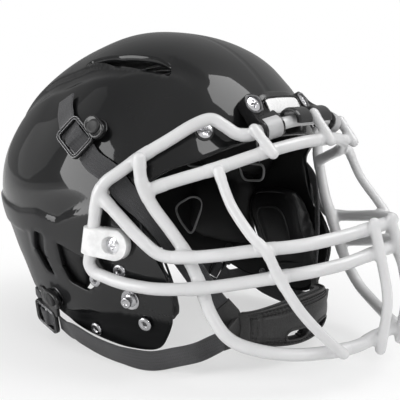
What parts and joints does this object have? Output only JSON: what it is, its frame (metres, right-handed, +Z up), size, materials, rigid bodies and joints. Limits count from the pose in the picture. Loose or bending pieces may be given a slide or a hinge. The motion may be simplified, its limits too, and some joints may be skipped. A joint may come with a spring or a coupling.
{
  "type": "football helmet",
  "caption": "Hard-shell football helmet with a wire face guard, vents, fitted pads, and a chin strap on press studs with a padded cup.",
  "frame": {"origin": "centre of the place for the wearer's head, on the middle plane", "axes": "+Z up towards the crown, -Y forward out of the face opening, -X towards the wearer's right"},
  "size_m": [0.2622, 0.3724, 0.2428],
  "materials": {
    "shell": "polished black",
    "white_plate": "smooth white",
    "bumper_rubber": "soft black",
    "chrome_screws": "polished",
    "zinc_nuts": "zinc plated",
    "top_clips": "moulded",
    "side_clips": "translucent white",
    "guard_coating": "satin powder coat",
    "studs": "polished",
    "rivets": "polished",
    "jaw_pads": "soft vinyl over foam",
    "liner_pads": "soft vinyl over foam",
    "chin_cup": "soft black",
    "cup_lining": "soft",
    "webbing": "woven",
    "buckles": "moulded black",
    "snap_caps": "moulded black"
  },
  "bodies": {
    "helmet": {"shell": "shell", "front_bumper": "bumper_rubber", "nameplate": "white_plate", "top_clip_right": "top_clips", "top_clip_left": "top_clips", "top_clip_screws": "chrome_screws", "top_clip_nuts": "zinc_nuts", "side_clip_right": "side_clips", "side_clip_left": "side_clips", "side_clip_screws": "chrome_screws", "side_clip_nuts": "zinc_nuts", "brow_screws": "chrome_screws", "brow_nuts": "zinc_nuts", "guard_top_bar": "guard_coating", "guard_brow_bar": "guard_coating", "guard_upper_cross_bar": "guard_coating", "guard_lower_cross_bar": "guard_coating", "guard_chin_bar": "guard_coating", "guard_long_upright_right": "guard_coating", "guard_long_upright_left": "guard_coating", "guard_centre_upright_right": "guard_coating", "guard_centre_upright_left": "guard_coating", "guard_brow_strut_right": "guard_coating", "guard_brow_strut_centre": "guard_coating", "guard_brow_strut_left": "guard_coating", "upper_strap_studs": "studs", "lower_strap_studs": "studs", "spare_strap_studs": "studs", "jaw_rivets_right": "rivets", "jaw_rivets_left": "rivets", "front_pad": "liner_pads", "crown_pad": "liner_pads", "rear_pad": "liner_pads", "side_pad_right": "liner_pads", "side_pad_left": "liner_pads", "chin_cup": "chin_cup", "cup_lining": "cup_lining", "upper_strap_right": "webbing", "upper_strap_left": "webbing", "lower_strap_right": "webbing", "lower_strap_left": "webbing"},
    "upper_buckle_right_set": {"upper_buckle_right": "buckles", "upper_snap_cap_right": "snap_caps", "upper_tail_right": "webbing"},
    "upper_buckle_left_set": {"upper_buckle_left": "buckles", "upper_snap_cap_left": "snap_caps", "upper_tail_left": "webbing"},
    "lower_buckle_right_set": {"lower_buckle_right": "buckles", "lower_snap_cap_right": "snap_caps", "lower_tail_right": "webbing"},
    "lower_buckle_left_set": {"lower_buckle_left": "buckles", "lower_snap_cap_left": "snap_caps", "lower_tail_left": "webbing"},
    "jaw_pad_right_body": {"jaw_pad_right": "jaw_pads"},
    "jaw_pad_left_body": {"jaw_pad_left": "jaw_pads"}
  },
  "joints": [
    {"name": "upper_buckle_right_unsnap", "type": "slide", "parent": "helmet", "child": "upper_buckle_right_set", "axis": [-0.9131, -0.1643, 0.3732], "range_m": [0, 0.008]},
    {"name": "upper_buckle_left_unsnap", "type": "slide", "parent": "helmet", "child": "upper_buckle_left_set", "axis": [0.9131, -0.1643, 0.3732], "range_m": [0, 0.008]},
    {"name": "lower_buckle_right_unsnap", "type": "slide", "parent": "helmet", "child": "lower_buckle_right_set", "axis": [-0.9453, 0.1767, -0.2742], "range_m": [0, 0.008]},
    {"name": "lower_buckle_left_unsnap", "type": "slide", "parent": "helmet", "child": "lower_buckle_left_set", "axis": [0.9453, 0.1767, -0.2742], "range_m": [0, 0.008]},
    {"name": "jaw_pad_right_pull", "type": "slide", "parent": "helmet", "child": "jaw_pad_right_body", "axis": [0.9794, 0.1584, 0.1254], "range_m": [0, 0.012]},
    {"name": "jaw_pad_left_pull", "type": "slide", "parent": "helmet", "child": "jaw_pad_left_body", "axis": [-0.9794, 0.1584, 0.1254], "range_m": [0, 0.012]}
  ]
}
